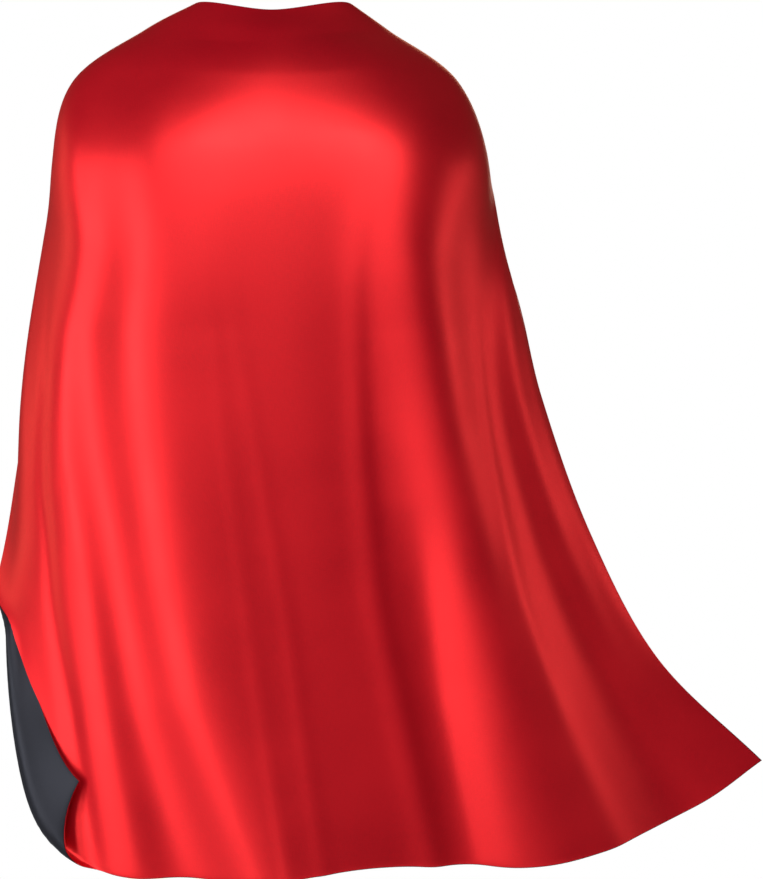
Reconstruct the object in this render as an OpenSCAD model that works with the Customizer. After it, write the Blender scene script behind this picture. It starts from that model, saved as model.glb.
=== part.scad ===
// Adult superhero cape: a red satin panel bagged out with a black satin lining, hung from a
// neckline that closes at the throat with a hook-and-loop tab. The wearer faces +Y, +Z is up,
// and the origin is the middle of the neck opening. All sizes are in millimetres.

/* [Cape] */
// Height of the hanging cape, from the neck opening to the lowest point of the hem
cape_length = 1100; // [900:10:1400]
// Width across the shoulders, over the cloth
shoulder_width = 550; // [450:5:660]
// Spread of the hem, from the turned-up corner to the flared corner
hem_width = 1018; // [800:2:1400]
// Width of the neck opening
neck_width = 200; // [160:5:250]
// Depth of the neck opening, front to back
neck_depth = 150; // [120:5:190]

/* [Drape] */
// How far the deepest fold stands out at the hem
fold_height = 28; // [10:1:60]
// Radius that the turned-up corner rolls round
curl_radius = 20; // [12:1:35]
// Angle that the corner is turned through, where 180 lies flat
curl_angle = 165; // [90:1:172]

/* [Cloth] */
// Thickness of the satin
satin = 0.3; // [0.2:0.05:0.6]
// Space that lies between the two satin layers
layer_gap = 0.5; // [0.4:0.05:0.8]
// Thickness of the stiffener in the neckline and the tabs
stiffener = 0.4; // [0.2:0.05:0.6]
// Width of the stiffener, sheet rows down from the neck seam
stiffener_rows = 1; // [1:1:3]
// Thickness of the sewing thread
thread = 0.3; // [0.2:0.05:0.4]

/* [Closure] */
// Gap between the two front corners that the tabs bridge
throat_gap = 90; // [76:1:120]
// Height of each tab
tab_height = 30; // [24:1:45]
// How far the tab that lies on top reaches past the middle of the gap
top_tab_reach = 34; // [32:1:45]
// How far the tab that lies underneath reaches past the middle of the gap
under_tab_reach = 30; // [30:1:45]
// Corner radius of the tabs
tab_round = 7; // [2:0.5:12]
// Length of each fastening tape
tape_length = 50; // [30:1:52]
// Height of each fastening tape
tape_height = 20; // [14:1:25]
// Thickness of the hook tape
hook_thick = 1.2; // [0.8:0.1:2]
// Thickness of the loop tape
loop_thick = 1.6; // [1:0.1:2.5]
// Clearance between pieces that move apart
clearance = 0.3; // [0.2:0.05:0.6]
// Distance from one stitch to the next
stitch_pitch = 4; // [3:0.5:6]

/* [Care label] */
// Width of the label
label_width = 28; // [20:1:40]
// Length of the label below its seam
label_length = 42; // [30:1:60]
// Thickness of the folded label ribbon
label_thick = 0.5; // [0.3:0.1:1]
// Space between the label and the lining at rest
label_stand_off = 3; // [2:0.5:6]

/* [Hidden] */

red_cloth = [0.78, 0.07, 0.11];
black_cloth = [0.06, 0.06, 0.07];

// The closure's layers, stacked forward from the wearer: the under tab, the loop tape, the hook
// tape and the top tab. Each tab is lining, stiffener and satin, as the panel's edge is.
tab_thick = satin + stiffener + satin;
under_y = neck_depth / 2 + 9;
loop_y = under_y + tab_thick;
hook_y = loop_y + loop_thick + clearance;
top_y = hook_y + hook_thick;
throat_x = throat_gap / 2;
throat_z = -46;
under_mid_y = under_y + tab_thick / 2;
top_mid_y = top_y + tab_thick / 2;
// Gap at each tab's root, where the sewn cloth bends
root_gap = 3 * clearance;
tab_root = throat_x - root_gap;
top_tab_length = tab_root + top_tab_reach;
under_tab_length = tab_root + under_tab_reach;
// The two tapes face each other, in the middle of the tabs' overlap
tape_x = (top_tab_reach - under_tab_reach) / 2;

// The hanging sheet is a net of points, nine rows down from the neckline and seven columns across
// from the wearer's left front edge, round the back, to the right front edge. Each point is drawn
// for the sizes below, and row_point fits it to the sizes that are set above.
drawn = [200, 550, 1018];      // neck, shoulder and hem widths of the drawn net
drawn_depth = 150;             // neck depth of the drawn net
drawn_shoulder_z = -100;       // above this the rows keep their heights
drawn_length = 1100;
net = [
    [[-45, 84, -46], [-97, 44, -20], [-97, -28, 14], [0, -68, 0],
     [97, -28, 14], [97, 44, -20], [45, 84, -46]],
    [[-45, 84, -76], [-152, 62, -54], [-160, -24, -19], [0, -98, -34],
     [142, -24, -19], [142, 60, -52], [45, 84, -76]],
    [[-112, 92, -135], [-236, 54, -112], [-240, -46, -84], [0, -130, -94],
     [221, -48, -84], [219, 54, -110], [117, 90, -130]],
    [[-195, 80, -215], [-281, 22, -203], [-242, -103, -190], [5, -156, -186],
     [240, -104, -190], [276, 14, -200], [232, 65, -205]],
    [[-270, 48, -335], [-302, -20, -335], [-200, -135, -332], [15, -173, -330],
     [204, -140, -332], [290, -70, -333], [304, -16, -332]],
    [[-320, 22, -505], [-313, -60, -505], [-185, -147, -502], [30, -180, -500],
     [207, -152, -500], [306, -110, -498], [343, -60, -495]],
    [[-349, -8, -690], [-298, -88, -688], [-156, -155, -684], [48, -184, -680],
     [228, -162, -678], [350, -130, -672], [403, -85, -668]],
    [[-376, -48, -880], [-284, -104, -890], [-124, -160, -886], [73, -186, -880],
     [256, -168, -872], [416, -140, -852], [488, -100, -826]],
    [[-398, -90, -1024], [-260, -120, -1080], [-80, -165, -1094], [103, -187, -1079],
     [286, -170, -1074], [496, -142, -1030], [620, -110, -954]]
];
rows = len(net) - 1;
cols = len(net[0]) - 1;

// Each fold has its route, as [down, across] from 0 to 1, its share of the fold height, which is
// negative for a hollow, its half widths to the left and to the right, and how far down it begins.
folds = [
    [[[0.33, 0.375], [0.43, 0.352], [0.55, 0.318]], 0.12, 0.018, 0.012, 0.24],
    [[[0.40, 0.318], [0.47, 0.300], [0.56, 0.262], [0.67, 0.250], [0.87, 0.254], [1, 0.258]],
     0.48, 0.048, 0.022, 0.30],
    [[[0.62, 0.225], [0.70, 0.200], [0.79, 0.196], [0.87, 0.210]], -0.18, 0.018, 0.018, 0.50],
    [[[0.30, 0.425], [0.43, 0.402], [0.56, 0.370], [0.77, 0.366], [0.87, 0.375], [1, 0.408]],
     1.00, 0.038, 0.085, 0.20],
    [[[0.50, 0.430], [0.87, 0.434]], 0.05, 0.007, 0.010, 0.42],
    [[[0.50, 0.446], [0.67, 0.460], [0.81, 0.470]], 0.05, 0.007, 0.010, 0.42],
    [[[0.50, 0.576], [0.67, 0.568], [0.80, 0.568], [1, 0.596]], 0.12, 0.018, 0.012, 0.42],
    [[[0.87, 0.620], [1, 0.640]], -0.35, 0.034, 0.026, 0.72],
    [[[0.35, 0.580], [0.48, 0.615], [0.56, 0.640], [0.67, 0.655], [0.86, 0.695], [1, 0.708]],
     0.85, 0.055, 0.062, 0.22],
    [[[0.60, 0.742], [0.80, 0.734], [1, 0.766]], 0.12, 0.016, 0.014, 0.50],
    [[[0.60, 0.780], [0.76, 0.790], [0.89, 0.822], [1, 0.836]], -0.35, 0.046, 0.046, 0.45],
    [[[0.36, 0.740], [0.44, 0.840], [0.56, 0.930], [0.80, 0.950], [1, 0.945]], 0.35, 0.060, 0.050, 0.26]
];
curl_top = -720;               // where the corner starts to roll, in the drawn net
curl_drop = 360;               // height of the roll, from its start down to the hem
curl_side = -319;              // how far out the roll starts
hem_dip = 0.3;                 // how far a fold lowers the hem, as a share of how far it stands out

// Rows and columns of the sheet's mesh. The first and last are the seam allowance.
seam_u = 0.010;
seam_v = 0.009;
mesh_rows = 28;
mesh_cols = 44;
down = concat([0, seam_v], [for (i = [1 : mesh_rows - 1]) i / mesh_rows], [1 - seam_v, 1]);
across = concat([0, seam_u], [for (i = [1 : mesh_cols - 1]) i / mesh_cols], [1 - seam_u, 1]);

function mix(a, b, t) = a + (b - a) * t;
function ramp(t) = let (c = min(max(t, 0), 1)) c * c * (3 - 2 * c);

// Width scale of a row: the neck's at the top, the shoulders' below it, and the hem's at the end
function row_width(r) = let (k = [neck_width / drawn[0], shoulder_width / drawn[1], hem_width / drawn[2]])
    r < 2 ? mix(k[0], k[1], r / 2) : mix(k[1], k[2], ramp((r - 3) / (rows - 3)));
length_scale = (cape_length + drawn_shoulder_z) / (drawn_length + drawn_shoulder_z);
function row_height(z) = z > drawn_shoulder_z ? z
    : drawn_shoulder_z + (z - drawn_shoulder_z) * length_scale;
function drawn_height(z) = z > drawn_shoulder_z ? z
    : drawn_shoulder_z + (z - drawn_shoulder_z) / length_scale;
function row_point(r, c) = let (p = net[r][c])
    r < 2 && c == 0 ? [-throat_x, top_mid_y, throat_z - r * tab_height]
    : r < 2 && c == cols ? [throat_x, under_mid_y, throat_z - r * tab_height]
    : [p[0] * row_width(r), p[1] * mix(neck_depth / drawn_depth, 1, min(r / 3, 1)), row_height(p[2])];
fitted = [for (r = [0 : rows]) [for (c = [0 : cols]) row_point(r, c)]];

// A smooth curve through a list of points, and the smooth sheet through the net
function spline(p, t) = let (n = len(p) - 1, i = min(floor(t * n), n - 1), f = t * n - i,
        a = i > 0 ? p[i - 1] : 2 * p[0] - p[1], b = p[i], c = p[i + 1],
        d = i < n - 1 ? p[i + 2] : 2 * p[n] - p[n - 1])
    0.5 * (2 * b + (c - a) * f + (2 * a - 5 * b + 4 * c - d) * f * f
           + (3 * b - 3 * c + d - a) * f * f * f);
// The two front edges run straight down the closure, and then turn out along the chest
function down_column(c, v) = c % cols == 0 && v < 1 / rows ? mix(fitted[0][c], fitted[1][c], v * rows)
    : spline([for (r = [0 : rows]) fitted[r][c]], v);
function row_curve(v) = [for (c = [0 : cols]) down_column(c, v)];

// A fold's height rises quickly from where it begins and levels off at the hem
function fold_growth(v, start) = sin(90 * max(v - start, 0) / (1 - start));
function fold_shape(t, left, right) = exp(-pow(t / (t < 0 ? left : right), 2));
function one_fold(u, v, f) = f[1] * fold_growth(v, f[4]) * fold_shape(u - lookup(v, f[0]), f[2], f[3]);
function fold_at(u, v, i = 0) = i == len(folds) ? 0
    : fold_height * one_fold(u, v, folds[i]) + fold_at(u, v, i + 1);
function folded(p, out, fold, v) = p + out * fold - [0, 0, hem_dip * fold * pow(v, 4)];

// The corner rolls towards the back, away from the wearer, round a line that slants down the side.
// The line is drawn with the net, so each point's height is first brought back to the drawn one.
curl_out = [-0.959, 0, -0.282];
function curl_line(t) = curl_side - 36 * (1 - ramp(t / 0.3)) + 55 * pow(t, 2.5) + 38 * pow(t, 14);
function curl(p, v) = let (
        t = min((curl_top - drawn_height(p[2])) / curl_drop, 1.1),
        far = t <= 0 ? 0 : (curl_line(t) * row_width(v * rows) - p[0]) * 0.959,
        roll = curl_radius * curl_angle * PI / 180,
        a = min(far, roll) / curl_radius * 180 / PI, tail = max(far - roll, 0))
    far <= 0 ? p
    : p + (curl_radius * sin(a) + tail * cos(a) - far) * curl_out
        - [0, curl_radius * (1 - cos(a)) + tail * sin(a), 0];

function unit(p) = p / norm(p);
smooth_rows = [for (v = down) row_curve(v)];
plain = [for (i = [0 : len(down) - 1]) [for (u = across) spline(smooth_rows[i], u)]];
function normal(g, i, j) = let (n = len(g) - 1, m = len(g[0]) - 1)
    unit(cross(g[i][min(j + 1, m)] - g[i][max(j - 1, 0)], g[min(i + 1, n)][j] - g[max(i - 1, 0)][j]));
sheet = [for (i = [0 : len(down) - 1]) [for (j = [0 : len(across) - 1])
    curl(folded(plain[i][j], -normal(plain, i, j), fold_at(across[j], down[i]), down[i]), down[i])]];
sheet_out = [for (i = [0 : len(down) - 1]) [for (j = [0 : len(across) - 1]) -normal(sheet, i, j)]];

// A closed layer of the sheet between two distances from its middle, over some of its mesh
module layer(inside, outside, i0, i1, j0, j1) {
    w = j1 - j0 + 1;
    h = i1 - i0 + 1;
    far = w * h;
    points = [for (d = [outside, inside]) for (i = [i0 : i1]) for (j = [j0 : j1])
        sheet[i][j] + sheet_out[i][j] * d];
    skin = [for (i = [0 : h - 2]) for (j = [0 : w - 2]) let (a = i * w + j)
        each [[a, a + 1, a + w + 1], [a, a + w + 1, a + w]]];
    back = [for (f = skin) [f[2] + far, f[1] + far, f[0] + far]];
    ring = concat([for (j = [0 : w - 1]) j], [for (i = [1 : h - 1]) i * w + w - 1],
                  [for (j = [w - 2 : -1 : 0]) (h - 1) * w + j], [for (i = [h - 2 : -1 : 1]) i * w]);
    rim = [for (k = [0 : len(ring) - 1]) let (a = ring[k], b = ring[(k + 1) % len(ring)])
        each [[b, a, a + far], [b, a + far, b + far]]];
    polyhedron(points, concat(skin, back, rim));
}

last_row = len(down) - 1;
last_col = len(across) - 1;

module outer_panel() color(red_cloth)
    layer(layer_gap / 2, layer_gap / 2 + satin, 0, last_row, 0, last_col);

module lining_panel() color(black_cloth)
    layer(-layer_gap / 2 - satin, -layer_gap / 2, 0, last_row, 0, last_col);

module neck_stiffener() color("white")
    layer(-stiffener / 2, stiffener / 2, 2, 2 + stiffener_rows, 2, last_col - 2);

// The thread that joins the two satins runs round the sheet, one mesh line in from its edge
module edge_seam_thread() color("darkred") {
    line = concat([for (j = [1 : last_col - 1]) [1, j]], [for (i = [2 : last_row - 1]) [i, last_col - 1]],
                  [for (j = [last_col - 2 : -1 : 1]) [last_row - 1, j]],
                  [for (i = [last_row - 2 : -1 : 2]) [i, 1]]);
    n = len(line);
    r = thread / 2;
    spots = [for (k = line) sheet[k[0]][k[1]]];
    points = [for (k = [0 : n - 1]) let (p = spots[k], out = sheet_out[line[k][0]][line[k][1]],
            along = unit(cross(out, spots[(k + 1) % n] - spots[(k + n - 1) % n])))
        each [p + out * r, p + along * r, p - out * r, p - along * r]];
    polyhedron(points, [for (k = [0 : n - 1]) for (q = [0 : 3])
        let (a = 4 * k, b = 4 * ((k + 1) % n), s = (q + 1) % 4)
        each [[a + q, b + q, b + s], [a + q, b + s, a + s]]]);
}

// A tab's outline, from its root at x = 0 to its round end, drawn in the plane of the closure
module tab_outline(length) {
    square([length - tab_round, tab_height]);
    translate([0, tab_round]) square([length, tab_height - 2 * tab_round]);
    for (y = [tab_round, tab_height - tab_round])
        translate([length - tab_round, y]) circle(tab_round, $fn = 48);
}

// Stands a flat outline up so that it faces the front: its y runs up, and its thickness runs forward
module stand(y, thick) translate([0, y + thick, throat_z - tab_height]) rotate([90, 0, 0])
    linear_extrude(thick) children();
module on_top_tab() translate([-tab_root, 0, 0]) children();
module on_under_tab() translate([tab_root, 0, 0]) mirror([1, 0, 0]) children();

// Stitches in a rectangle of the given size, round the middle of a point
module stitch_ring(x, y, length, height) {
    bar = stitch_pitch * 0.6;
    across_n = floor(length / stitch_pitch);
    up_n = floor(height / stitch_pitch);
    for (k = [0 : across_n - 1], s = [-1, 1])
        translate([x + (k - (across_n - 1) / 2) * stitch_pitch, y + s * height / 2])
            square([bar, thread], center = true);
    for (k = [1 : up_n - 2], s = [-1, 1])
        translate([x + s * length / 2, y + (k - (up_n - 1) / 2) * stitch_pitch])
            square([thread, bar], center = true);
}

stitch_inset = 2.2;            // from a tab's or a tape's edge to its stitches
module tab_stitching(y, length) stand(y, thread)
    stitch_ring(length / 2, tab_height / 2,
                length - 2 * stitch_inset - tab_round, tab_height - 2 * stitch_inset);
module tape(y, middle, thick) stand(y, thick)
    translate([middle, tab_height / 2]) square([tape_length, tape_height], center = true);
module tape_stitching(y, middle) stand(y, thread)
    stitch_ring(middle, tab_height / 2, tape_length + 2 * thread, tape_height + 2 * thread);

module under_tab_lining() color(black_cloth) on_under_tab()
    stand(under_y, satin) tab_outline(under_tab_length);
module under_tab_stiffener() color("white") on_under_tab()
    stand(under_y + satin, stiffener) tab_outline(under_tab_length);
module under_tab_outer() color(red_cloth) on_under_tab()
    stand(under_y + satin + stiffener, satin) tab_outline(under_tab_length);
module under_tab_stitching() color("darkred") on_under_tab()
    tab_stitching(under_y - thread, under_tab_length);
module loop_tape() color("dimgray") on_under_tab() tape(loop_y, tab_root - tape_x, loop_thick);
module loop_tape_stitching() color("black") on_under_tab() tape_stitching(loop_y, tab_root - tape_x);

module top_tab_lining() color(black_cloth) on_top_tab() stand(top_y, satin) tab_outline(top_tab_length);
module top_tab_stiffener() color("white") on_top_tab()
    stand(top_y + satin, stiffener) tab_outline(top_tab_length);
module top_tab_outer() color(red_cloth) on_top_tab()
    stand(top_y + satin + stiffener, satin) tab_outline(top_tab_length);
module top_tab_stitching() color("darkred") on_top_tab() tab_stitching(top_y + tab_thick, top_tab_length);
module hook_tape() color("dimgray") on_top_tab() tape(top_y - hook_thick, tab_root + tape_x, hook_thick);
module hook_tape_stitching() color("black") on_top_tab() tape_stitching(top_y - thread, tab_root + tape_x);

// The care label hangs inside the back of the neck, along the slope of the lining
neck_col = floor(last_col / 2);
label_top = sheet[1][neck_col];
slope_low = sheet[4][neck_col];
label_tilt = atan2(label_top[1] - slope_low[1], label_top[2] - slope_low[2]);
module on_label_seam() translate(label_top) rotate([-label_tilt, 0, 0])
    translate([0, label_stand_off, 0]) children();
module care_label() color("white") on_label_seam()
    translate([-label_width / 2, 0, -label_length]) cube([label_width, label_thick, label_length]);
module label_stitching() color("darkred") {
    bars = floor((label_width - 4) / stitch_pitch);
    label_reach = label_stand_off - layer_gap / 2 - satin - thread / 2;
    on_label_seam() for (k = [0 : bars - 1])
        translate([(k - (bars - 1) / 2) * stitch_pitch, -label_reach, clearance])
            cube([thread, label_reach + label_thick, thread]);
}

outer_panel();
lining_panel();
neck_stiffener();
edge_seam_thread();
under_tab_outer();
under_tab_stiffener();
under_tab_lining();
under_tab_stitching();
loop_tape();
loop_tape_stitching();
top_tab_outer();
top_tab_stiffener();
top_tab_lining();
top_tab_stitching();
hook_tape();
hook_tape_stitching();
care_label();
label_stitching();
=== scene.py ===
"""A superhero cape of red satin lined with black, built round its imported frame."""

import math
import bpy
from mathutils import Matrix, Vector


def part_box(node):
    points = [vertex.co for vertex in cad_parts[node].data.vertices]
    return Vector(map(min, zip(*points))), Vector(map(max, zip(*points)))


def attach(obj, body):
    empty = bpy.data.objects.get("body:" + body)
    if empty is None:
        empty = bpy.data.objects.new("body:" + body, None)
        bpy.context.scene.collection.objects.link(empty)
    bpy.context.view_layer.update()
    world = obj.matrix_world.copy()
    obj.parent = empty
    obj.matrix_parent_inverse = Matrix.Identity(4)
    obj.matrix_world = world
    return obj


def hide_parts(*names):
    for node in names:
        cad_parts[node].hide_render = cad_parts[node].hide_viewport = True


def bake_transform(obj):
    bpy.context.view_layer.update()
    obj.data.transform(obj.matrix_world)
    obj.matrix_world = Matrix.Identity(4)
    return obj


bl_info = {
    "name": "Superhero Cape",
    "version": (1, 0, 0),
    "blender": (4, 5, 0),
    "location": "View3D > Sidebar > Cape",
    "description": "Sews a lined satin cape with a hook-and-loop closure round its CAD frame",
    "category": "Object",
}

import bpy
import numpy as np
from bpy.props import FloatProperty, FloatVectorProperty, IntProperty, PointerProperty
from bpy.types import Operator, Panel, PropertyGroup
from mathutils import Vector

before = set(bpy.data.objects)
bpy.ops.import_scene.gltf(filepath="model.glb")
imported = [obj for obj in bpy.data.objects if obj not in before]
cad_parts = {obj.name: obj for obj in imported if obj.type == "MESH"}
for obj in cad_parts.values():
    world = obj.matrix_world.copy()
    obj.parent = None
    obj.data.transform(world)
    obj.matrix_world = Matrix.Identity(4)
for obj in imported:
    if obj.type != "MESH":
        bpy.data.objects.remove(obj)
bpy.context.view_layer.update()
MM = 0.001

# ---------------------------------------------------------------- the shape the cloth hangs in

# Nine rows down from the neckline and seven columns across, from the wearer's left front edge,
# round the back, to the right front edge, in millimetres
NET = np.array([
    [[-45, 88.6, -46], [-97, 44, -20], [-97, -28, 14], [0, -68, 0],
     [97, -28, 14], [97, 44, -20], [45, 84.5, -46]],
    [[-45, 88.6, -76], [-152, 62, -54], [-160, -24, -19], [0, -98, -34],
     [142, -24, -19], [142, 60, -52], [45, 84.5, -76]],
    [[-112, 92, -135], [-236, 54, -112], [-240, -46, -84], [0, -130, -94],
     [221, -48, -84], [219, 54, -110], [117, 90, -130]],
    [[-195, 80, -215], [-281, 22, -203], [-242, -103, -190], [5, -156, -186],
     [240, -104, -190], [276, 14, -200], [232, 65, -205]],
    [[-270, 48, -335], [-302, -20, -335], [-200, -135, -332], [15, -173, -330],
     [204, -140, -332], [290, -70, -333], [304, -16, -332]],
    [[-320, 22, -505], [-313, -60, -505], [-185, -147, -502], [30, -180, -500],
     [207, -152, -500], [306, -110, -498], [343, -60, -495]],
    [[-349, -8, -690], [-298, -88, -688], [-156, -155, -684], [48, -184, -680],
     [228, -162, -678], [350, -130, -672], [403, -85, -668]],
    [[-390, -48, -880], [-284, -104, -890], [-124, -160, -886], [73, -186, -880],
     [256, -168, -872], [416, -140, -852], [488, -100, -826]],
    [[-398, -90, -1024], [-260, -120, -1080], [-80, -165, -1094], [103, -187, -1079],
     [286, -170, -1074], [496, -142, -1030], [620, -110, -954]],
]) * MM

# Each fold has its route, as (down, across) from 0 to 1, its share of the fold height, which is
# negative for a hollow, its half widths to the left and right, and how far down it begins
FOLDS = [
    ([(0.3, 0.345), (0.4, 0.318), (0.47, 0.3), (0.56, 0.262), (0.67, 0.25), (0.87, 0.254), (1, 0.258)],
     0.62, 0.075, 0.036, 0.24),
    ([(0.62, 0.225), (0.7, 0.2), (0.79, 0.196), (0.87, 0.21)],
     -0.18, 0.018, 0.018, 0.5),
    ([(0.24, 0.435), (0.3, 0.425), (0.43, 0.402), (0.56, 0.37), (0.77, 0.366), (0.87, 0.375), (1, 0.408)],
     1.05, 0.062, 0.1, 0.16),
    ([(0.5, 0.43), (0.87, 0.434)],
     0.05, 0.007, 0.01, 0.42),
    ([(0.5, 0.446), (0.67, 0.46), (0.81, 0.47)],
     0.05, 0.007, 0.01, 0.42),
    ([(0.5, 0.576), (0.67, 0.568), (0.8, 0.568), (1, 0.596)],
     0.14, 0.02, 0.014, 0.42),
    ([(0.87, 0.62), (1, 0.64)],
     -0.35, 0.034, 0.026, 0.72),
    ([(0.24, 0.585), (0.35, 0.605), (0.48, 0.635), (0.56, 0.655), (0.67, 0.672), (0.86, 0.708), (1, 0.722)],
     1.4, 0.076, 0.08, 0.14),
    ([(0.6, 0.752), (0.8, 0.744), (1, 0.776)],
     0.12, 0.018, 0.016, 0.5),
    ([(0.6, 0.8), (0.76, 0.81), (0.89, 0.832), (1, 0.846)],
     -0.3, 0.05, 0.05, 0.45),
    ([(0.36, 0.78), (0.44, 0.88), (0.56, 0.96), (0.8, 0.975), (1, 0.97)],
     0.18, 0.06, 0.06, 0.26),
]
# How wide a fold is where the cloth begins, as a share of its width at the hem
FOLD_NARROW = 0.4
# How far a fold lowers the hem, as a share of how far it stands out
HEM_DIP = 0.3
# The corner starts to roll at this height, on a line this far out, and rolls down to the hem
CURL_TOP = -690 * MM
CURL_DROP = 390 * MM
CURL_SIDE = -319 * MM
CURL_OUT = np.array([-0.959, 0, -0.282])
# How far the line starts outside its side, the share of the drop where it has come in, and how
# far it then swings in down the corner and at the tip
CURL_ENTRY = 36 * MM
CURL_ENTRY_SHARE = 0.3
CURL_SWING = 55 * MM
CURL_TIP = 38 * MM


def ramp(t):
    """Goes smoothly from 0 to 1."""
    c = np.clip(t, 0, 1)
    return c * c * (3 - 2 * c)


def through(points, t):
    """A smooth curve through evenly spaced points, at each t from 0 to 1."""
    p = np.asarray(points, float)
    n = len(p) - 1
    i = np.minimum((t * n).astype(int), n - 1)
    f = (t * n - i).reshape((-1,) + (1,) * (p.ndim - 1))
    ends = np.concatenate([[2 * p[0] - p[1]], p, [2 * p[n] - p[n - 1]]])
    a, b, c, d = (ends[i + k] for k in range(4))
    return 0.5 * (2 * b + (c - a) * f + (2 * a - 5 * b + 4 * c - d) * f**2 + (3 * b - 3 * c + d - a) * f**3)


def outwards(grid):
    """The direction that the red side faces at each point of a grid."""
    n = np.cross(np.gradient(grid, axis=0), np.gradient(grid, axis=1))
    return n / np.linalg.norm(n, axis=2, keepdims=True)


def folds_at(across, down, folds):
    """How far the folds stand out at each point, as a share of the fold height.

    A fold is narrow where it begins and fans out as it falls.
    """
    total = np.zeros_like(across)
    for route, height, left, right, start in folds:
        beside = across - np.interp(down, [r[0] for r in route], [r[1] for r in route])
        beside /= FOLD_NARROW + (1 - FOLD_NARROW) * down
        growth = np.sin(math.pi / 2 * np.maximum(down - start, 0) / (1 - start))
        total += height * growth * np.exp(-((beside / np.where(beside < 0, left, right)) ** 2))
    return total


def curled(grid, radius, angle):
    """Rolls the lower corner on the wearer's left towards the back, round a line that slants down."""
    t = np.clip((CURL_TOP - grid[..., 2]) / CURL_DROP, 0, 1.1)
    entry = CURL_ENTRY * (1 - ramp(t / CURL_ENTRY_SHARE))
    line = CURL_SIDE + CURL_SWING * t**2.5 + CURL_TIP * t**14 - entry
    far = np.where(t > 0, np.maximum((line - grid[..., 0]) * -CURL_OUT[0], 0), 0)
    a = np.minimum(far / radius, angle)
    tail = np.maximum(far - radius * angle, 0)
    side = radius * np.sin(a) + tail * np.cos(a) - far
    back = radius * (1 - np.cos(a)) + tail * np.sin(a)
    return grid + side[..., None] * CURL_OUT - back[..., None] * np.array([0, 1, 0])


def hanging_sheet(across, down, drape):
    """The middle of the cloth at each (down, across), as a grid of points in metres."""
    rows = through(NET, down)
    grid = np.stack([through(row, across) for row in rows])
    u, v = np.meshgrid(across, down)
    height = drape.fold_height * folds_at(u, v, FOLDS)
    grid = grid + outwards(grid) * height[..., None]
    grid[..., 2] -= HEM_DIP * height * v**4
    return curled(grid, drape.curl_radius, drape.curl_angle)


def spaced(count, edge):
    """Places from 0 to 1, evenly spaced, with finer steps towards both ends for the seam's roll."""
    fine = np.array([0, 0.04, 0.12, 0.25, 0.45, 0.7, 1.0]) * edge
    middle = np.linspace(edge, 1 - edge, count)[1:-1]
    return np.concatenate([fine, middle, 1 - fine[::-1]])


# ---------------------------------------------------------------- meshes

def closed_layer(name, front, back, lengths, material):
    """A thin closed sheet between two grids, with its cloth's own UV map in metres."""
    rows, cols = front.shape[:2]
    index = np.arange(rows * cols).reshape(rows, cols)
    quads = np.stack([index[:-1, :-1], index[1:, :-1], index[1:, 1:], index[:-1, 1:]], -1).reshape(-1, 4)
    far = rows * cols
    ring = np.concatenate([index[0, :-1], index[:-1, -1], index[-1, :0:-1], index[:0:-1, 0]])
    turn = np.roll(ring, -1)
    rim = np.stack([ring, turn, turn + far, ring + far], -1)
    faces = np.concatenate([quads, quads[:, ::-1] + far, rim])
    points = np.concatenate([front.reshape(-1, 3), back.reshape(-1, 3)])
    mesh = bpy.data.meshes.new(name)
    mesh.from_pydata(points.tolist(), [], faces.tolist())
    uv = mesh.uv_layers.new(name="cloth")
    flat = np.concatenate([lengths.reshape(-1, 2)] * 2)
    loops = np.empty(len(mesh.loops), int)
    mesh.loops.foreach_get("vertex_index", loops)
    uv.data.foreach_set("uv", flat[loops].astype(np.float32).ravel())
    mesh.shade_smooth()
    mesh.materials.append(material)
    piece = bpy.data.objects.new(name, mesh)
    bpy.context.collection.objects.link(piece)
    return piece


def down_distance(grid, count):
    """Typical distances of the first rows of a grid from its edge."""
    steps = np.linalg.norm(np.diff(grid[:count], axis=0), axis=2).mean(1)
    return np.concatenate([[0], steps.cumsum()])


def drawn_in(grid, distances, inset, share):
    """Draws the first rows of a grid back from its edge, by share of inset in each column."""
    rows = np.arange(len(distances))
    moved = np.interp(np.maximum(distances, inset + 0.3 * distances), distances, rows)
    low = np.minimum(moved.astype(int), len(rows) - 2)
    part = (moved - low)[:, None, None]
    drawn = grid[low] * (1 - part) + grid[low + 1] * part
    result = grid.copy()
    result[rows] = grid[rows] * (1 - share[:, None]) + drawn * share[:, None]
    return result


def cloth_lengths(grid):
    """Distances along the cloth, across from its middle and down from the neck, in metres."""
    across = np.linalg.norm(np.diff(grid, axis=1), axis=2).cumsum(1)
    across = np.concatenate([np.zeros((len(grid), 1)), across], 1)
    across -= across[:, across.shape[1] // 2][:, None]
    down = np.linalg.norm(np.diff(grid, axis=0), axis=2).cumsum(0)
    down = np.concatenate([np.zeros((1, grid.shape[1])), down])
    return np.stack([across, down], -1)


TAB_EDGE = np.array([0, 0.08, 0.2, 0.4, 0.8, 1.5, 2.0, 2.2, 2.4, 3.0]) * MM


def tab_grid(root, tip, height, corner):
    """A tab's places along and across it, and their distance from its edge, past a square root."""
    length = abs(tip - root)
    turn = length - corner * (1 - np.sin(np.linspace(0, math.pi / 2, 14)))
    along = np.concatenate([np.linspace(0, length - corner, 46)[:-1], turn])
    rounding = np.maximum(along - length + corner, 0)
    half = height / 2 - corner + np.sqrt(np.maximum(corner**2 - rounding**2, 0))
    inner = np.linspace(-1, 1, 14)[1:-1, None] * (half - TAB_EDGE[-1])
    rows = np.concatenate([TAB_EDGE[:, None] - half, inner, (half - TAB_EDGE[:, None])[::-1]])
    past = np.stack([along - length + corner + 0 * rows, abs(rows) - height / 2 + corner])
    depth = corner - np.hypot(*np.maximum(past, 0)) - np.minimum(past.max(0), 0)
    return along + 0 * rows, rows, depth


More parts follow.
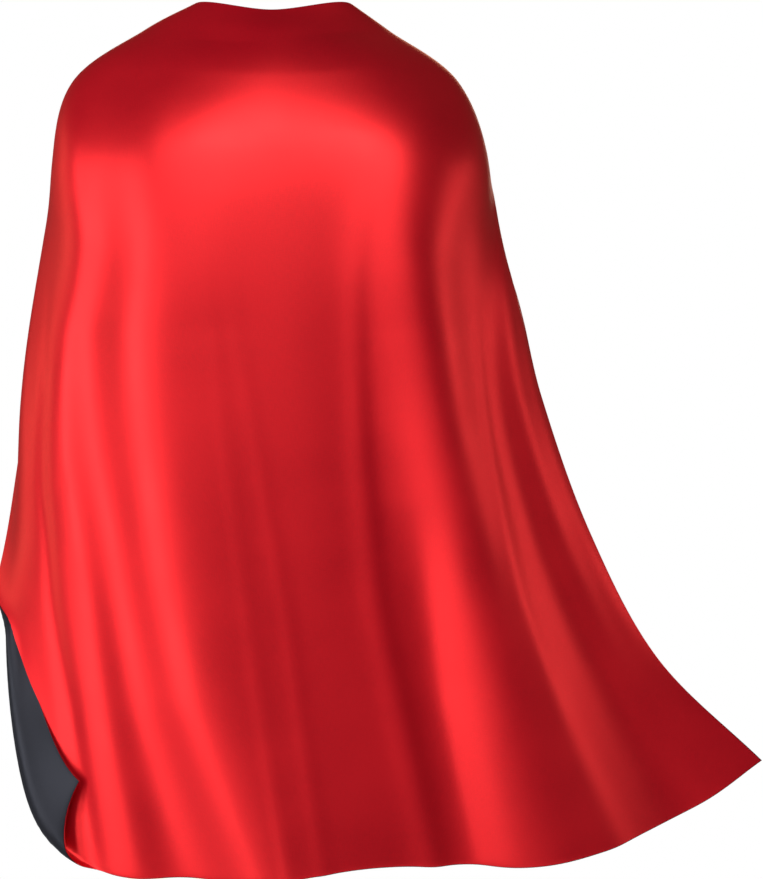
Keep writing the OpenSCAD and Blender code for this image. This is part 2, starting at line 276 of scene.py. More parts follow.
def tab_layer(name, tab, near, far, material, inset=0.0):
    """One layer of a tab between two heights from its middle, which close together at its edge."""
    root, tip, height, corner, middle_y, middle_z = tab
    way = math.copysign(1, tip - root)
    along, rows, depth = tab_grid(root, tip - way * inset, height - 2 * inset, corner)
    rise = np.sqrt(1 - (1 - np.clip(depth / (0.8 * MM), 0, 1)) ** 2)
    dimple = 0.06 * MM * np.exp(-(((depth + inset - 2.2 * MM) / (0.35 * MM)) ** 2))
    swell = rise - dimple / max(abs(far), abs(near))
    flat = [root + way * along, middle_z + rows]
    sides = [np.stack([flat[0], middle_y + offset * swell, flat[1]], -1) for offset in (far, near)]
    if outwards(sides[0])[..., 1].mean() < 0:
        sides = [side[::-1] for side in sides]
        along, rows = along[::-1], rows[::-1]
    return closed_layer(name, sides[0], sides[1], np.stack([along, rows], -1), material)


def tab_ring(tab, inset, out):
    """A closed line round a tab, at an inset from its edge."""
    root, tip, height, corner, middle_y, middle_z = tab
    way = math.copysign(1, tip - root)
    radius = corner - inset
    centre = abs(tip - root) - corner
    turn = np.linspace(0, math.pi / 2, 10)
    along = np.concatenate([[inset], centre + radius * np.sin(turn)])
    up = np.concatenate([[0.0], radius * (np.cos(turn) - 1)]) + height / 2 - inset
    along = np.concatenate([along, along[::-1]])
    up = np.concatenate([up, -up[::-1]])
    return np.stack([root + way * along, middle_y + out + 0 * up, middle_z + up], -1)


def rectangle(x, z, y):
    """A closed line round a flat rectangle that faces the front."""
    return np.array([[x[0], y, z[0]], [x[1], y, z[0]], [x[1], y, z[1]], [x[0], y, z[1]]])


# ---------------------------------------------------------------- what repeats, as Geometry Nodes

def new_tree(name, inputs):
    """A Geometry Nodes tree with a mesh in, a mesh out and the named inputs."""
    tree = bpy.data.node_groups.new(name, "GeometryNodeTree")
    tree.interface.new_socket("Geometry", in_out="INPUT", socket_type="NodeSocketGeometry")
    for label, kind in inputs.items():
        tree.interface.new_socket(label, in_out="INPUT", socket_type="NodeSocket" + kind)
    tree.interface.new_socket("Geometry", in_out="OUTPUT", socket_type="NodeSocketGeometry")
    nodes = Nodes(tree)
    return tree, nodes, nodes.add("NodeGroupInput")


def finish_tree(nodes, group, mesh):
    """Ends a tree in real meshes with one material."""
    real = nodes.add("GeometryNodeRealizeInstances", {"Geometry": mesh})
    painted = nodes.add("GeometryNodeSetMaterial", {"Geometry": real.outputs[0],
                                                    "Material": group.outputs["Material"]})
    output = nodes.add("NodeGroupOutput")
    nodes.tree.links.new(painted.outputs[0], output.inputs[0])


def stitch_tree():
    """Stitches along every line of the mesh that it is given."""
    tree, nodes, group = new_tree("stitches", {"Pitch": "Float", "Length": "Float", "Thread": "Float",
                                               "Material": "Material"})
    line = nodes.add("GeometryNodeMeshToCurve", {"Mesh": group.outputs["Geometry"]})
    steps = nodes.add("GeometryNodeResampleCurve", {"Curve": line.outputs[0],
                                                    "Length": group.outputs["Pitch"]}, mode="LENGTH")
    bead = nodes.add("GeometryNodeMeshUVSphere", {"Segments": 7, "Rings": 6, "Radius": 0.5})
    size = nodes.add("ShaderNodeCombineXYZ", {"X": group.outputs["Thread"], "Y": group.outputs["Thread"],
                                              "Z": group.outputs["Length"]})
    stitch = nodes.add("GeometryNodeTransform", {"Geometry": bead.outputs["Mesh"], "Scale": size.outputs[0]})
    tangent = nodes.add("GeometryNodeInputTangent")
    turn = nodes.add("FunctionNodeAlignRotationToVector", {"Vector": tangent.outputs[0]}, axis="Z")
    row = nodes.add("GeometryNodeInstanceOnPoints", {
        "Points": steps.outputs[0], "Instance": stitch.outputs[0], "Rotation": turn.outputs[0]})
    finish_tree(nodes, group, row.outputs[0])
    return tree


def pile_tree():
    """A tape's hooks or loops: a bent wire at each point of a grid, leaning a little at random."""
    tree, nodes, group = new_tree("tape_pile", {
        "Tape Length": "Float", "Tape Height": "Float", "Columns": "Int", "Rows": "Int", "Wire": "Float",
        "Start": "Vector", "Start Handle": "Vector", "End Handle": "Vector", "End": "Vector",
        "Lean": "Float", "Seed": "Int", "Turn": "Rotation", "Place": "Vector", "Material": "Material"})
    put = group.outputs
    points = nodes.add("GeometryNodeMeshGrid", {"Size X": put["Tape Length"], "Size Y": put["Tape Height"],
                                                "Vertices X": put["Columns"], "Vertices Y": put["Rows"]})
    path = nodes.add("GeometryNodeCurvePrimitiveBezierSegment", {
        "Resolution": 8, "Start": put["Start"], "Start Handle": put["Start Handle"],
        "End Handle": put["End Handle"], "End": put["End"]})
    round_wire = nodes.add("GeometryNodeCurvePrimitiveCircle", {"Resolution": 4, "Radius": put["Wire"]})
    wire = nodes.add("GeometryNodeCurveToMesh", {
        "Curve": path.outputs[0], "Profile Curve": round_wire.outputs[0], "Fill Caps": True})
    low = nodes.add("ShaderNodeMath", {0: put["Lean"], 1: -1.0}, operation="MULTIPLY")
    least = nodes.add("ShaderNodeCombineXYZ", {
        "X": low.outputs[0], "Y": low.outputs[0], "Z": low.outputs[0]})
    most = nodes.add("ShaderNodeCombineXYZ", {"X": put["Lean"], "Y": put["Lean"], "Z": put["Lean"]})
    lean = nodes.add("FunctionNodeRandomValue", {"Seed": put["Seed"]}, data_type="FLOAT_VECTOR")
    tree.links.new(least.outputs[0], lean.inputs["Min"])
    tree.links.new(most.outputs[0], lean.inputs["Max"])
    rows = nodes.add("GeometryNodeInstanceOnPoints", {
        "Points": points.outputs["Mesh"], "Instance": wire.outputs[0], "Rotation": lean.outputs[0]})
    placed = nodes.add("GeometryNodeTransform", {"Geometry": rows.outputs[0], "Translation": put["Place"],
                                                 "Rotation": put["Turn"]})
    both = nodes.add("GeometryNodeJoinGeometry", {"Geometry": put["Geometry"]})
    tree.links.new(placed.outputs[0], both.inputs["Geometry"])
    finish_tree(nodes, group, both.outputs[0])
    return tree


def baked(piece, tree, values):
    """Runs a tree on a piece with the given inputs, and keeps the result as its plain mesh."""
    modifier = piece.modifiers.new(tree.name, "NODES")
    modifier.node_group = tree
    sockets = {item.name: item.identifier for item in tree.interface.items_tree if item.in_out == "INPUT"}
    for label, value in values.items():
        modifier[sockets[label]] = value
    piece.update_tag()
    graph = bpy.context.evaluated_depsgraph_get()
    mesh = bpy.data.meshes.new_from_object(piece.evaluated_get(graph), depsgraph=graph)
    piece.modifiers.remove(modifier)
    piece.data = mesh
    mesh.shade_smooth()
    return piece


def stitched(name, paths, closed, material, closure):
    """A row of stitches along each path."""
    edges = []
    first = 0
    for path in paths:
        count = len(path)
        edges += [(first + k, first + (k + 1) % count) for k in range(count if closed else count - 1)]
        first += count
    mesh = bpy.data.meshes.new(name)
    mesh.from_pydata(np.concatenate(paths).tolist(), edges, [])
    piece = bpy.data.objects.new(name, mesh)
    bpy.context.collection.objects.link(piece)
    return baked(piece, bpy.data.node_groups.get("stitches") or stitch_tree(), {
        "Pitch": closure.stitch_pitch, "Length": closure.stitch_length, "Thread": closure.thread,
        "Material": material})


def tape_base(name, box, face, material):
    """A tape's woven ribbon: thin at its selvedges, from the cloth that it is sewn to, to a face."""
    low, high = box
    back = high[1] if face < 0 else low[1]
    width = high[0] - low[0]
    height = high[2] - low[2]
    edge = np.array([0, 0.15, 0.4, 0.8, 1.4, 1.8, 2.2]) * MM
    across = np.concatenate([edge, np.linspace(edge[-1], width - edge[-1], 24)[1:-1], width - edge[::-1]])
    up = np.concatenate([edge, np.linspace(edge[-1], height - edge[-1], 12)[1:-1], height - edge[::-1]])
    x, z = np.meshgrid(across, up)
    depth = np.minimum(np.minimum(x, width - x), np.minimum(z, height - z))
    rise = np.interp(depth / MM, [0, 0.15, 0.4, 1.4, 1.8], [0.12, 0.26, 0.32, 0.32, 0.5]) * MM
    flat = np.stack([low[0] + x, back + 0 * x, low[2] + z], -1)
    raised = flat + face * rise[..., None] * np.array([0, 1, 0])
    sides = [raised, flat]
    if (outwards(raised)[..., 1].mean() > 0) != (face > 0):
        sides = [side[::-1] for side in sides]
    return closed_layer(name, sides[0], sides[1], np.stack([x, z], -1), material)


def with_pile(piece, box, face, material, pitch, shape, wire, lean, seed):
    """Covers a tape's face with hooks or loops, which are bent wires of the given shape."""
    low, high = box
    margin = 2.4 * MM
    width = high[0] - low[0] - 2 * margin
    height = high[2] - low[2] - 2 * margin
    back = high[1] if face < 0 else low[1]
    start, start_handle, end_handle, end = (tuple(c * MM for c in point) for point in shape)
    return baked(piece, bpy.data.node_groups.get("tape_pile") or pile_tree(), {
        "Tape Length": width, "Tape Height": height, "Columns": round(width / pitch) + 1,
        "Rows": round(height / pitch) + 1, "Wire": wire, "Start": start, "Start Handle": start_handle,
        "End Handle": end_handle, "End": end, "Lean": lean, "Seed": seed,
        "Turn": (-face * math.pi / 2, 0.0, 0.0),
        "Place": ((low[0] + high[0]) / 2, back + face * 0.42 * MM, (low[2] + high[2]) / 2),
        "Material": material})


# ---------------------------------------------------------------- materials

class Nodes:
    """A short way to add nodes and join them."""

    def __init__(self, tree):
        self.tree = tree

    def add(self, kind, inputs=None, **settings):
        node = self.tree.nodes.new(kind)
        for key, value in settings.items():
            setattr(node, key, value)
        for key, value in (inputs or {}).items():
            if isinstance(value, bpy.types.NodeSocket):
                self.tree.links.new(value, node.inputs[key])
            else:
                node.inputs[key].default_value = value
        return node


def new_material(name):
    material = bpy.data.materials.new(name)
    material.use_nodes = True
    material.node_tree.nodes.clear()
    nodes = Nodes(material.node_tree)
    output = nodes.add("ShaderNodeOutputMaterial")
    return material, nodes, output


def satin(name, colour, shade, gloss, tint):
    """Satin with a fine grain along its threads, soft changes of shade and a coloured sheen."""
    material, nodes, output = new_material(name)
    cloth = nodes.add("ShaderNodeUVMap", uv_map="cloth")
    threads = nodes.add("ShaderNodeMapping", {"Vector": cloth.outputs[0], "Scale": (1400, 90, 1)})
    grain = nodes.add("ShaderNodeTexNoise", {"Vector": threads.outputs[0], "Scale": 1.0, "Detail": 3.0})
    cross = nodes.add("ShaderNodeMapping", {"Vector": cloth.outputs[0], "Scale": (110, 1500, 1)})
    weft = nodes.add("ShaderNodeTexNoise", {"Vector": cross.outputs[0], "Scale": 1.0, "Detail": 2.0})
    place = nodes.add("ShaderNodeTexCoord")
    cloud = nodes.add("ShaderNodeTexNoise", {"Vector": place.outputs["Object"], "Scale": 9.0, "Detail": 4.0})
    weave = nodes.add("ShaderNodeMath", {0: grain.outputs["Fac"], 1: weft.outputs["Fac"]}, operation="ADD")
    tone = nodes.add("ShaderNodeMapRange", {"Value": weave.outputs[0], "From Min": 0.7, "From Max": 1.3,
                                            "To Min": 0.0, "To Max": 1.0})
    fine = nodes.add("ShaderNodeMix", {"Factor": tone.outputs[0], "A": shade, "B": colour}, data_type="RGBA")
    broad = nodes.add("ShaderNodeMix", {"Factor": cloud.outputs["Fac"], "A": fine.outputs["Result"],
                                        "B": colour}, data_type="RGBA")
    bump = nodes.add("ShaderNodeBump", {"Strength": 0.12, "Distance": 0.0004, "Height": weave.outputs[0]})
    tangent = nodes.add("ShaderNodeTangent", direction_type="UV_MAP", uv_map="cloth")
    rough = nodes.add("ShaderNodeMapRange", {"Value": cloud.outputs["Fac"], "From Min": 0.3, "From Max": 0.7,
                                             "To Min": gloss - 0.03, "To Max": gloss + 0.03})
    shader = nodes.add("ShaderNodeBsdfPrincipled", {
        "Base Color": broad.outputs["Result"], "Roughness": rough.outputs[0], "Normal": bump.outputs[0],
        "Tangent": tangent.outputs[0], "Metallic": 0.65, "IOR": 1.7, "Specular IOR Level": 0.6,
        "Specular Tint": tint, "Anisotropic": 0.4, "Sheen Weight": 0.02, "Sheen Roughness": 0.4,
    })
    nodes.tree.links.new(shader.outputs[0], output.inputs[0])
    return material


def plain_material(name, colour, roughness):
    """One even colour."""
    material, nodes, output = new_material(name)
    shader = nodes.add("ShaderNodeBsdfPrincipled", {"Base Color": colour, "Roughness": roughness})
    nodes.tree.links.new(shader.outputs[0], output.inputs[0])
    return material


def ramped(nodes, factor, dark, light):
    """A colour between two, by a factor."""
    return nodes.add("ShaderNodeMix", {"Factor": factor, "A": dark, "B": light},
                     data_type="RGBA").outputs["Result"]


def fibre_material(name, dark, light, roughness, scale, stretch, depth, sheen):
    """Thread, felt or ribbon: fine fibres in the piece's own space, with their colour and bump."""
    material, nodes, output = new_material(name)
    place = nodes.add("ShaderNodeTexCoord")
    along = nodes.add("ShaderNodeMapping", {"Vector": place.outputs["Object"], "Scale": stretch})
    fibres = nodes.add("ShaderNodeTexNoise", {"Vector": along.outputs[0], "Scale": scale, "Detail": 4.0,
                                              "Roughness": 0.65})
    contrast = nodes.add("ShaderNodeMapRange", {"Value": fibres.outputs["Fac"], "From Min": 0.35,
                                                "From Max": 0.65})
    bump = nodes.add("ShaderNodeBump", {"Strength": 0.5, "Distance": depth, "Height": fibres.outputs["Fac"]})
    shader = nodes.add("ShaderNodeBsdfPrincipled", {
        "Base Color": ramped(nodes, contrast.outputs[0], dark, light), "Roughness": roughness,
        "Normal": bump.outputs[0], "Sheen Weight": sheen, "Sheen Roughness": 0.5})
    nodes.tree.links.new(shader.outputs[0], output.inputs[0])
    return material


def woven_material(name, dark, light, roughness, threads):
    """A plain weave on the cloth's own UV map: two crossed rows of threads."""
    material, nodes, output = new_material(name)
    cloth = nodes.add("ShaderNodeUVMap", uv_map="cloth")
    heights = []
    for direction in ("X", "Y"):
        heights.append(nodes.add("ShaderNodeTexWave", {"Vector": cloth.outputs[0], "Scale": threads,
                                                       "Distortion": 0.6, "Detail": 1.0},
                                 bands_direction=direction).outputs["Fac"])
    weave = nodes.add("ShaderNodeMath", {0: heights[0], 1: heights[1]}, operation="MULTIPLY")
    bump = nodes.add("ShaderNodeBump", {"Strength": 0.5, "Distance": 0.0001, "Height": weave.outputs[0]})
    shader = nodes.add("ShaderNodeBsdfPrincipled", {
        "Base Color": ramped(nodes, weave.outputs[0], dark, light), "Roughness": roughness,
        "Normal": bump.outputs[0], "Sheen Weight": 0.2, "Sheen Roughness": 0.5})
    nodes.tree.links.new(shader.outputs[0], output.inputs[0])
    return material


MATERIALS = {
    "interfacing": lambda: fibre_material("interfacing", (0.62, 0.61, 0.57, 1), (0.82, 0.81, 0.77, 1), 0.9,
                                          900, (1, 1, 1), 0.0002, 0.1),
    "red_thread": lambda: fibre_material("red_thread", (0.30, 0.004, 0.008, 1), (0.55, 0.012, 0.02, 1), 0.45,
                                         5000, (1, 1, 1), 0.00005, 0.2),
    "black_thread": lambda: fibre_material("black_thread", (0.008, 0.008, 0.009, 1), (0.03, 0.03, 0.032, 1),
                                           0.45, 5000, (1, 1, 1), 0.00005, 0.2),
    "hook_tape": lambda: fibre_material("hook_tape", (0.010, 0.010, 0.011, 1), (0.035, 0.035, 0.037, 1),
                                        0.38, 2500, (1, 1, 1), 0.00008, 0.0),
    "loop_tape": lambda: fibre_material("loop_tape", (0.012, 0.012, 0.013, 1), (0.045, 0.045, 0.048, 1), 0.7,
                                        2500, (1, 1, 1), 0.0001, 0.6),
    "label_ribbon": lambda: woven_material("label_ribbon", (0.62, 0.61, 0.58, 1),
                                           (0.88, 0.87, 0.84, 1), 0.42, 700),
}


def finish_named(name):
    """The finish of that name, made when it is first used, apart from the CAD's own materials."""
    title = "finish_" + name
    finish = bpy.data.materials.get(title) or MATERIALS[name]()
    finish.name = title
    return finish


def put_on(piece, body, nodes, bend=None):
    """A piece rides a body, or, when bend points are given, keeps its place baked into its mesh, and stands
    for its node.
    """
    if bend:
        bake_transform(piece)
    else:
        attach(piece, body)
    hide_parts(*nodes)
    return piece


# ---------------------------------------------------------------- what a user can set

class CapeDrape(PropertyGroup):
    """The way the cloth hangs."""

    fold_height: FloatProperty(name="Fold height", default=0.028, unit="LENGTH",
                               description="How far the deepest fold stands out at the hem")
    curl_radius: FloatProperty(name="Corner radius", default=0.02, unit="LENGTH",
                               description="Radius that the turned-up corner rolls round")
    curl_angle: FloatProperty(name="Corner angle", default=math.radians(165), subtype="ANGLE",
                              description="Angle that the corner is turned through")


class CapeCloth(PropertyGroup):
    """The cloth itself."""

    satin_thickness: FloatProperty(name="Satin", default=0.3 * MM, unit="LENGTH",
                                   description="Thickness of one satin layer")
    loft: FloatProperty(name="Loft", default=0.8 * MM, unit="LENGTH",
                        description="Half the space between the layers away from the seam")
    overhang: FloatProperty(name="Overhang", default=0.9 * MM, unit="LENGTH",
                            description="How far the lining rolls past the red panel at the edge")
    interfacing: FloatProperty(name="Interfacing", default=0.4 * MM, unit="LENGTH",
                               description="Thickness of the interfacing in the neck and the tabs")
    red: FloatVectorProperty(name="Red satin", default=(0.78, 0.001, 0.020, 1), size=4, subtype="COLOR",
                             description="Colour of the outer panel")
    red_shade: FloatVectorProperty(name="Red shade", default=(0.62, 0.001, 0.018, 1), size=4,
                                   subtype="COLOR", description="Colour of the outer panel's threads")
    black: FloatVectorProperty(name="Black satin", default=(0.012, 0.012, 0.017, 1), size=4,
                               subtype="COLOR", description="Colour of the lining")
    black_shade: FloatVectorProperty(name="Black shade", default=(0.007, 0.007, 0.010, 1), size=4,
                                     subtype="COLOR", description="Colour of the lining's threads")
    columns: IntProperty(name="Columns", default=190, description="Mesh columns across the panel")
    rows: IntProperty(name="Rows", default=180, description="Mesh rows down the panel")


class CapeClosure(PropertyGroup):
    """The tabs at the throat, their stitches and their tapes."""

    corner: FloatProperty(name="Tab corner", default=7 * MM, unit="LENGTH",
                          description="Radius of a tab's round corners")
    seam_depth: FloatProperty(name="Seam depth", default=1.6 * MM, unit="LENGTH",
                              description="How far a tab's root goes into the cape's front edge")
    bend: FloatProperty(name="Bend", default=12 * MM, unit="LENGTH",
                        description="Length of cloth at the root that bends when the tab is peeled open")
    stitch_inset: FloatProperty(name="Stitch inset", default=2.2 * MM, unit="LENGTH",
                                description="Distance from a tab's edge to its stitches")
    stitch_pitch: FloatProperty(name="Stitch pitch", default=2.6 * MM, unit="LENGTH",
                                description="Distance from one stitch to the next")
    stitch_length: FloatProperty(name="Stitch length", default=1.9 * MM, unit="LENGTH",
                                 description="Length of the thread that shows in one stitch")
    thread: FloatProperty(name="Thread", default=0.3 * MM, unit="LENGTH",
                          description="Thickness of the thread")
    hook_pitch: FloatProperty(name="Hook pitch", default=1.5 * MM, unit="LENGTH",
                              description="Distance from one hook to the next")
    loop_pitch: FloatProperty(name="Loop pitch", default=1.15 * MM, unit="LENGTH",
                              description="Distance from one loop to the next")


class CapeLabel(PropertyGroup):
    """The blank care label."""

    width: FloatProperty(name="Width", default=28 * MM, unit="LENGTH", description="Width of the ribbon")
    length: FloatProperty(name="Length", default=41 * MM, unit="LENGTH",
                          description="Length of the label below its seam")
    stand_off: FloatProperty(name="Stand-off", default=3.2 * MM, unit="LENGTH",
                             description="Space between the label and the lining")
    ribbon: FloatProperty(name="Ribbon", default=0.14 * MM, unit="LENGTH",
                          description="Thickness of the ribbon, which is folded double")


# ---------------------------------------------------------------- operators

def panel_grids(settings):
    """The places across and down the cloth, its middle, and the way it faces."""
    cloth = settings.cape_cloth
    across = spaced(cloth.columns, 0.006)
    down = spaced(cloth.rows, 0.005)
    middle = hanging_sheet(across, down, settings.cape_drape)
    return across, down, middle, outwards(middle)


def seam_shift(side, across, down, overhang, share):
    """Draws a panel's edges in, so that the other panel shows past them, by share across the sheet."""
    count = 7
    top = drawn_in(side, down_distance(side, count), overhang, share)
    hem = drawn_in(top[::-1], down_distance(top[::-1], count), overhang, share)[::-1]
    turned = hem.transpose(1, 0, 2)
    level = np.ones(len(down))
    left = drawn_in(turned, down_distance(turned, count), overhang, level * share[0])
    right = drawn_in(left[::-1], down_distance(left[::-1], count), overhang, level * share[-1])[::-1]
    return right.transpose(1, 0, 2)


class CAPE_OT_panels(Operator):
    """Makes the red outer panel and the black lining"""

    bl_idname = "cape.panels"
    bl_label = "Panels"

    def execute(self, context):
        scene = context.scene
        cloth = scene.cape_cloth
        across, down, middle, facing = panel_grids(scene)
        lengths = cloth_lengths(middle)
        u, v = np.meshgrid(across, down)
        edge = np.minimum(np.minimum(u, 1 - u) / 0.006, np.minimum(v, 1 - v) / 0.005)
        puff = np.sqrt(1 - (1 - np.clip(edge, 0, 1)) ** 2)[..., None]
        inner = facing * (0.02 * MM + puff * cloth.loft)
        outer = facing * (0.02 * MM + puff * cloth.loft + cloth.satin_thickness)
        red = satin("outer_cloth", cloth.red, cloth.red_shade, 0.42, (1, 0.8, 0.36, 1))
        black = satin("lining_cloth", cloth.black, cloth.black_shade, 0.42, (0.5, 0.53, 0.6, 1))
        red_share = ramp((across - 0.16) / 0.1)
        sides = {"red": [middle + outer, middle + inner], "black": [middle - inner, middle - outer]}
        sides["red"] = [seam_shift(side, across, down, cloth.overhang, red_share) for side in sides["red"]]
        sides["black"] = [seam_shift(side, across, down, cloth.overhang, 1 - red_share)
                          for side in sides["black"]]
        panel = closed_layer("outer_satin", *sides["red"], lengths, red)
        lining = closed_layer("lining_satin", *sides["black"], lengths, black)
        put_on(panel, "cape", ["outer_panel"])
        put_on(lining, "cape", ["lining_panel"])
        return {"FINISHED"}


class CAPE_OT_interfacing(Operator):
    """Makes the stiff band between the layers at the neck"""

    bl_idname = "cape.interfacing"
    bl_label = "Neck interfacing"

    def execute(self, context):
        scene = context.scene
        across = np.linspace(0.012, 0.988, 150)
        down = np.linspace(0.009, 2 / 28, 12)
        middle = hanging_sheet(across, down, scene.cape_drape)
        half = outwards(middle) * scene.cape_cloth.interfacing / 2
        band = closed_layer("neck_interfacing", middle + half, middle - half, cloth_lengths(middle),
                            finish_named("interfacing"))
        put_on(band, "cape", ["neck_stiffener"])
        return {"FINISHED"}


class CAPE_OT_seam(Operator):
    """Sews the two panels together round their edge, inside the seam"""

    bl_idname = "cape.seam"
    bl_label = "Edge seam"

    def execute(self, context):
        scene = context.scene
        across = np.linspace(0.0045, 0.9955, 240)
        down = np.linspace(0.0042, 0.9958, 200)
        middle = hanging_sheet(across, down, scene.cape_drape)
        ring = np.concatenate([middle[0, :-1], middle[:-1, -1], middle[-1, :0:-1], middle[:0:-1, 0]])
        seam = stitched("edge_seam_stitches", [ring], True, finish_named("red_thread"), scene.cape_closure)
        put_on(seam, "cape", ["edge_seam_thread"])
        return {"FINISHED"}


def tab_frame(node, settings):
    """A tab's root, tip, height, corner and middle, from its CAD layers' places."""
    low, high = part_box(node + "_outer")
    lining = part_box(node + "_lining")
    middle_y = (lining[0][1] + high[1]) / 2
    root, tip = (low[0], high[0]) if low[0] < -high[0] else (high[0], low[0])
    root += math.copysign(settings.seam_depth, root)
    return root, tip, high[2] - low[2], settings.corner, middle_y, (low[2] + high[2]) / 2


class CAPE_OT_tabs(Operator):
    """Makes the two tabs at the throat: satin, interfacing, backing and stitches"""

    bl_idname = "cape.tabs"
    bl_label = "Throat tabs"

    def execute(self, context):
        scene = context.scene
        closure = scene.cape_closure
        cloth = scene.cape_cloth
        half = cloth.satin_thickness + cloth.interfacing / 2
        inner = cloth.interfacing / 2 + 0.02 * MM
        for node, body in (("under_tab", "cape"), ("top_tab", "closure_tab")):
            tab = tab_frame(node, closure)
            satin_piece = tab_layer(node + "_satin", tab, inner, half, bpy.data.materials["outer_cloth"])
            backing = tab_layer(node + "_backing", tab, -half, -inner, bpy.data.materials["lining_cloth"])
            stiff = tab_layer(node + "_interfacing", tab, -cloth.interfacing / 2, cloth.interfacing / 2,
                              finish_named("interfacing"), inset=1.2 * MM)
            rings = [tab_ring(tab, closure.stitch_inset, side * (half - 0.03 * MM)) for side in (-1, 1)]
            sewn = stitched(node + "_stitches", rings, True, finish_named("red_thread"), closure)
            bend = [(tab[0] + reach, tab[4], tab[5]) for reach in (0, closure.bend)]
            bend = None if body == "cape" else bend
            put_on(satin_piece, body, [node + "_outer"], bend)
            put_on(backing, body, [node + "_lining"], bend)
            put_on(stiff, body, [node + "_stiffener"], bend)
            put_on(sewn, body, [node + "_stitching"], bend)
        return {"FINISHED"}


HOOK = ((-0.15, 0, -0.15), (-0.2, 0, 1.0), (0.55, 0, 1.05), (0.42, 0, 0.28))
LOOP = ((-0.22, 0, -0.15), (-0.6, 0, 1.35), (0.6, 0, 1.35), (0.22, 0, -0.15))


class CAPE_OT_tapes(Operator):
    """Makes the hook tape and the loop tape, with their pile and their stitches"""

    bl_idname = "cape.tapes"
    bl_label = "Fastening tapes"

    def execute(self, context):
        closure = context.scene.cape_closure
        kinds = (("hook_tape", "closure_tab", -1, closure.hook_pitch, HOOK, 0.07 * MM, 0.05, 3),
                 ("loop_tape", "cape", 1, closure.loop_pitch, LOOP, 0.045 * MM, 0.5, 5))
        for node, body, face, pitch, shape, wire, lean, seed in kinds:
            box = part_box(node)
            material = finish_named(node)
            tape = tape_base(node + "_ribbon", box, face, material)
            tape = with_pile(tape, box, face, material, pitch, shape, wire, lean, seed)
            put_on(tape, body, [node])
            low, high = box
            inset = 1.1 * MM
            back = high[1] if face < 0 else low[1]
            ring = rectangle((low[0] + inset, high[0] - inset), (low[2] + inset, high[2] - inset),
                             back + face * 0.4 * MM)
            sewn = stitched(node + "_stitches", [ring], True, finish_named("black_thread"), closure)
            put_on(sewn, body, [node + "_stitching"])
        return {"FINISHED"}


class CAPE_OT_label(Operator):
    """Makes the blank care label, folded double and caught in the neck seam"""

    bl_idname = "cape.label"
    bl_label = "Care label"

    def execute(self, context):
        scene = context.scene
        label = scene.cape_label
        middle = hanging_sheet(np.array([0.49, 0.5, 0.51]), np.array([0.009, 3 / 28]), scene.cape_drape)
        top, slope = middle[:, 1]
        fall = (slope - top) / np.linalg.norm(slope - top)
        front = np.array([0, -fall[2], fall[1]])
        gap = label.stand_off
        reach = [(0.004, 0.0012), (0.001, 0.0022), (-0.003, gap - 0.0002), (-0.008, gap),
                 (-0.016, gap + 0.0002), (-0.026, gap), (-0.034, gap - 0.0001),
                 (-label.length + 0.001, gap)]
        turn = [(-label.length, gap + 0.00018), (-label.length + 0.001, gap + 0.00036)]
        back = [(down, out + 0.00036) for down, out in reach[-2::-1]]
        path = through(np.array(reach + turn + back), np.linspace(0, 1, 90))
        line = top - path[:, :1] * fall + path[:, 1:] * front
        x = np.linspace(-label.width / 2, label.width / 2, 16)
        grid = line[:, None, :] + x[None, :, None] * np.array([1, 0, 0])
        half = outwards(grid) * label.ribbon / 2
        ribbon = closed_layer("care_label_ribbon", grid + half, grid - half, cloth_lengths(grid),
                              finish_named("label_ribbon"))
        bend = (tuple(top + front * gap), tuple(top + fall * 0.006))
        put_on(ribbon, "care_label", ["care_label"], bend)
        row = top + x[2:-2, None] * np.array([1, 0, 0]) + front * 0.0031 - fall * 0.0005
        sewn = stitched("label_stitches", [row], False, finish_named("red_thread"), scene.cape_closure)
        put_on(sewn, "cape", ["label_stitching"])
        return {"FINISHED"}


def area_light(name, place, aim, size, power):
    """A white rectangular light at one place, aimed at another."""
    light = bpy.data.lights.new(name, "AREA")
    light.shape = "RECTANGLE"
    light.size, light.size_y = size
    light.energy = power
    lamp = bpy.data.objects.new(name, light)
    lamp.location = place
    lamp.rotation_euler = (Vector(aim) - Vector(place)).to_track_quat("-Z", "Y").to_euler()
    bpy.context.collection.objects.link(lamp)
    return lamp


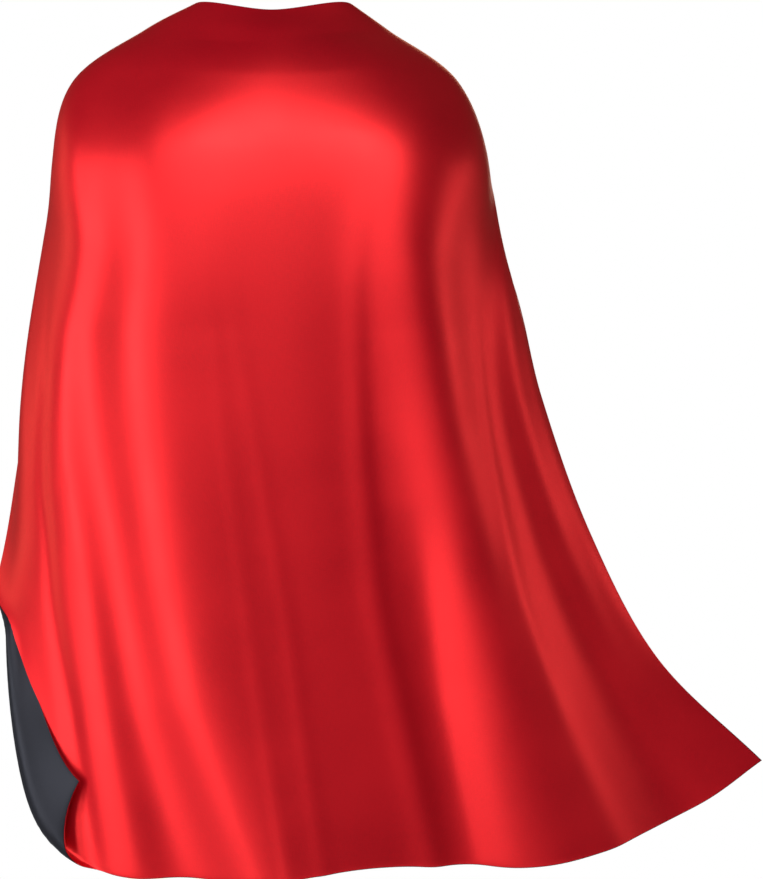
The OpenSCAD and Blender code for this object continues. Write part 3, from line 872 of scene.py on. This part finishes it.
class CAPE_OT_stage(Operator):
    """Sets the floor, the lights and the camera"""

    bl_idname = "cape.stage"
    bl_label = "Stage"

    def execute(self, context):
        scene = context.scene
        camera = bpy.data.cameras.new("camera")
        distance = 4.2
        view_width = 0.957565
        camera.sensor_fit = "HORIZONTAL"
        camera.sensor_width = 36
        camera.lens = camera.sensor_width * (distance - 0.14) / view_width
        eye = bpy.data.objects.new("camera", camera)
        eye.location = (0.140, -distance, -0.549)
        eye.rotation_euler = (math.pi / 2, 0, 0)
        context.collection.objects.link(eye)
        scene.camera = eye
        area_light("left_softbox", (-2.7, -1.9, -0.2), (0.05, -0.1, -0.6), (0.8, 3.0), 48)
        area_light("left_key", (-2.0, -2.8, -0.4), (0.05, -0.1, -0.6), (0.5, 2.6), 28)
        area_light("left_rim", (-2.9, 0.9, -0.2), (-0.2, 0.0, -0.5), (0.6, 2.4), 12)
        area_light("right_softbox", (3.0, -0.2, -0.4), (0.1, -0.1, -0.5), (0.6, 2.4), 16)
        area_light("top_softbox", (-0.1, -2.5, 1.45), (0.1, -0.15, -0.2), (1.7, 0.35), 34)
        area_light("top_fill", (-0.3, -3.0, 0.75), (0.1, -0.15, -0.4), (1.0, 1.5), 10)
        area_light("front_fill", (0.2, 3.6, 0.6), (0.1, 0.0, -0.5), (2.4, 2.4), 45)
        world = bpy.data.worlds.new("studio")
        world.use_nodes = True
        world.node_tree.nodes.clear()
        nodes = Nodes(world.node_tree)
        rays = nodes.add("ShaderNodeLightPath")
        room = nodes.add("ShaderNodeBackground", {"Color": (1, 1, 1, 1), "Strength": 0.07})
        white = nodes.add("ShaderNodeBackground", {"Color": (1, 1, 1, 1), "Strength": 1.0})
        mix = nodes.add("ShaderNodeMixShader", {0: rays.outputs["Is Camera Ray"], 1: room.outputs[0],
                                                2: white.outputs[0]})
        output = nodes.add("ShaderNodeOutputWorld")
        world.node_tree.links.new(mix.outputs[0], output.inputs[0])
        scene.world = world
        scene.view_settings.view_transform = "Standard"
        bpy.ops.mesh.primitive_circle_add(vertices=96, radius=3.0, fill_type="NGON",
                                          location=(0.1, 0, -1.55))
        floor = context.object
        floor.name = "floor"
        floor.data.materials.append(plain_material("pale_floor", (0.86, 0.86, 0.85, 1), 0.7))
        return {"FINISHED"}


STEPS = ("stage", "panels", "interfacing", "seam", "tabs", "tapes", "label")


class CAPE_PT_sewing(Panel):
    """Lists the cape's sizes and the steps that sew it"""

    bl_idname = "CAPE_PT_sewing"
    bl_label = "Superhero Cape"
    bl_space_type = "VIEW_3D"
    bl_region_type = "UI"
    bl_category = "Cape"

    def draw(self, context):
        for name in ("cape_drape", "cape_cloth", "cape_closure", "cape_label"):
            settings = getattr(context.scene, name)
            box = self.layout.box()
            box.label(text=settings.bl_rna.description)
            for field in settings.bl_rna.properties:
                if field.identifier not in ("rna_type", "name"):
                    box.prop(settings, field.identifier)
        for step in STEPS:
            self.layout.operator("cape." + step)


GROUPS = {"cape_drape": CapeDrape, "cape_cloth": CapeCloth, "cape_closure": CapeClosure,
          "cape_label": CapeLabel}
CLASSES = tuple(GROUPS.values()) + (CAPE_OT_stage, CAPE_OT_panels, CAPE_OT_interfacing, CAPE_OT_seam,
                                    CAPE_OT_tabs, CAPE_OT_tapes, CAPE_OT_label, CAPE_PT_sewing)


def register():
    for item in CLASSES:
        bpy.utils.register_class(item)
    for name, group in GROUPS.items():
        setattr(bpy.types.Scene, name, PointerProperty(type=group))


def unregister():
    for name in GROUPS:
        delattr(bpy.types.Scene, name)
    for item in reversed(CLASSES):
        bpy.utils.unregister_class(item)


def main():
    register()
    for step in STEPS:
        getattr(bpy.ops.cape, step)()


if __name__ == "__main__":
    main()
